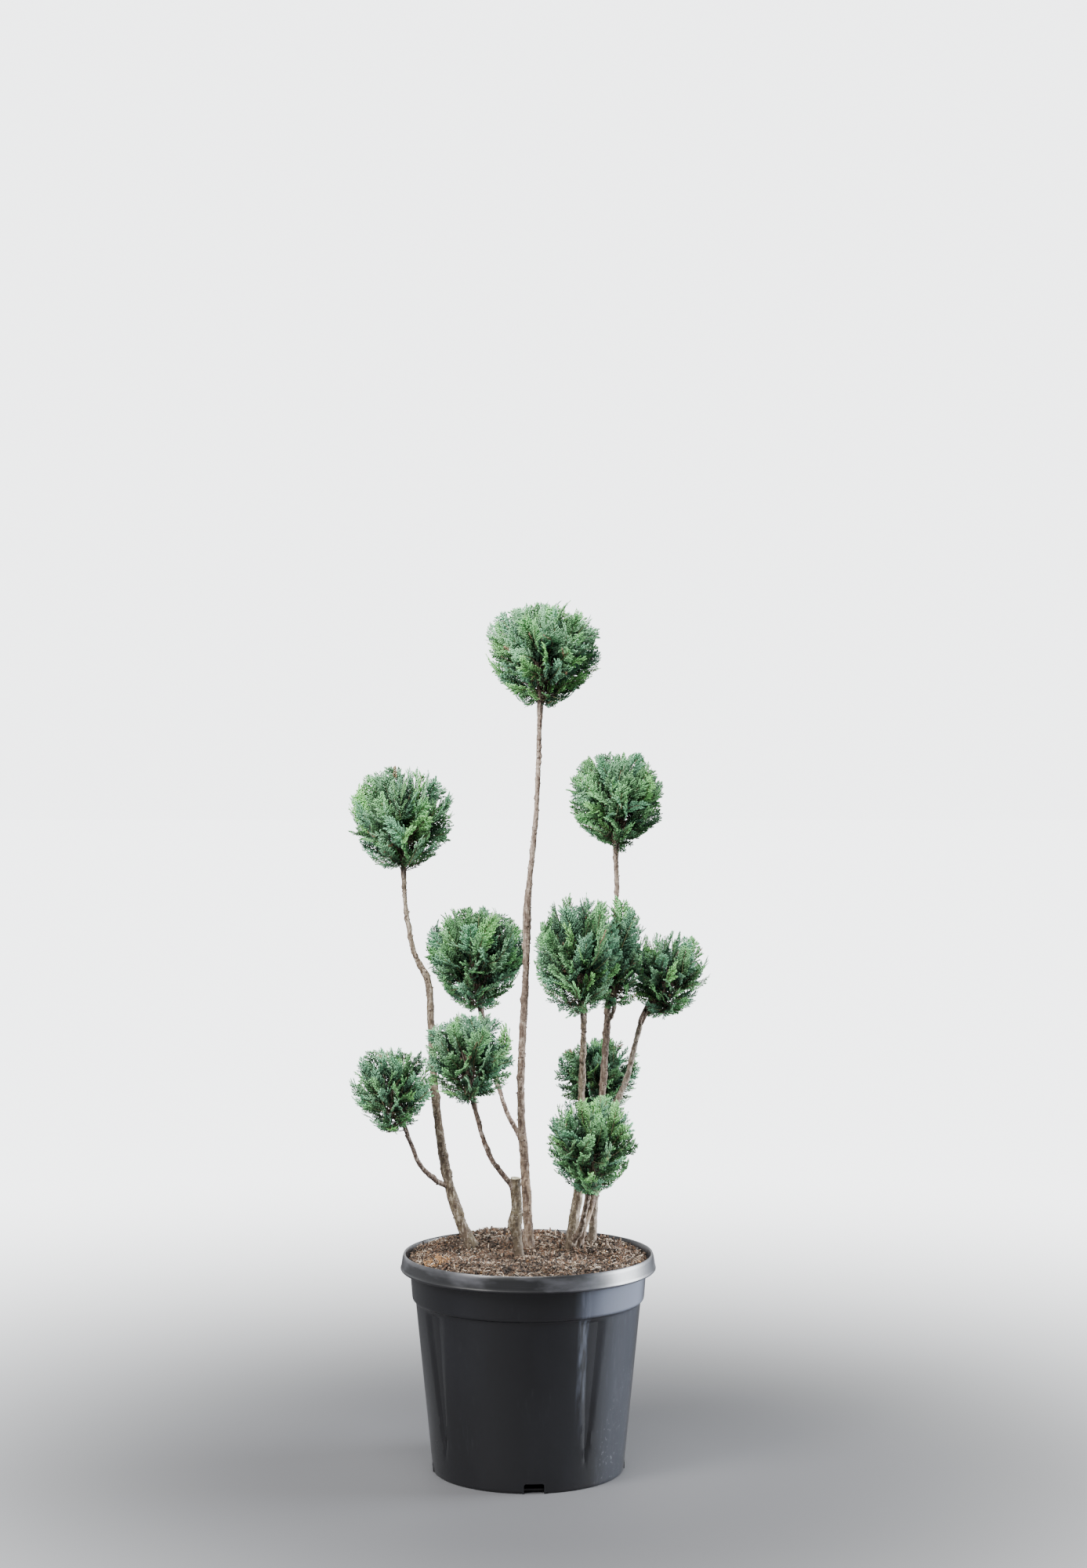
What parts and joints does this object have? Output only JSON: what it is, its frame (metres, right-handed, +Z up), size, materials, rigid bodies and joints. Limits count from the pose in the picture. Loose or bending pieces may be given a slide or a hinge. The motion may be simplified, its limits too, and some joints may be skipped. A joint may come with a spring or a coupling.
{
  "type": "potted ellwoodii lawson cypress",
  "caption": "Cypress clipped into balls of feathery blue-green foliage on bare curved stems, in bark mulch in a round black nursery pot with a broad rim.",
  "frame": {"origin": "middle of the pot's flat underside, at the level that the pot stands on", "axes": "+Z up the plant; +X to the plant's right and +Y to its back, as the picture shows it"},
  "size_m": [0.4937, 0.3518, 1.1879],
  "materials": {
    "pot": "black injection-moulded plastic with a dull sheen, dusty and scuffed",
    "mulch": "loose composted bark and peat with pale fibres, matt",
    "bark": "thin grey-brown bark, flaking, with grey-green lichen",
    "foliage": "flat feathery sprays of scale leaves, blue-green with fresh green tips"
  },
  "bodies": {
    "root": {"pot": "pot", "mulch": "mulch", "trunk_left": "bark", "trunk_stub": "bark", "trunk_centre": "bark", "trunk_right_front": "bark", "trunk_right_middle": "bark", "trunk_right_back": "bark", "bough_left_low": "bark", "bough_middle_front": "bark", "bough_middle_back": "bark", "bough_right_inner": "bark", "bough_right_back": "bark", "bough_right_low": "bark", "foliage_top": "foliage", "foliage_left_high": "foliage", "foliage_right_high": "foliage", "foliage_middle_back": "foliage", "foliage_middle_front": "foliage", "foliage_left_low": "foliage", "foliage_right_front": "foliage", "foliage_right_inner": "foliage", "foliage_right_outer": "foliage", "foliage_right_back": "foliage", "foliage_right_low": "foliage"}
  },
  "joints": []
}
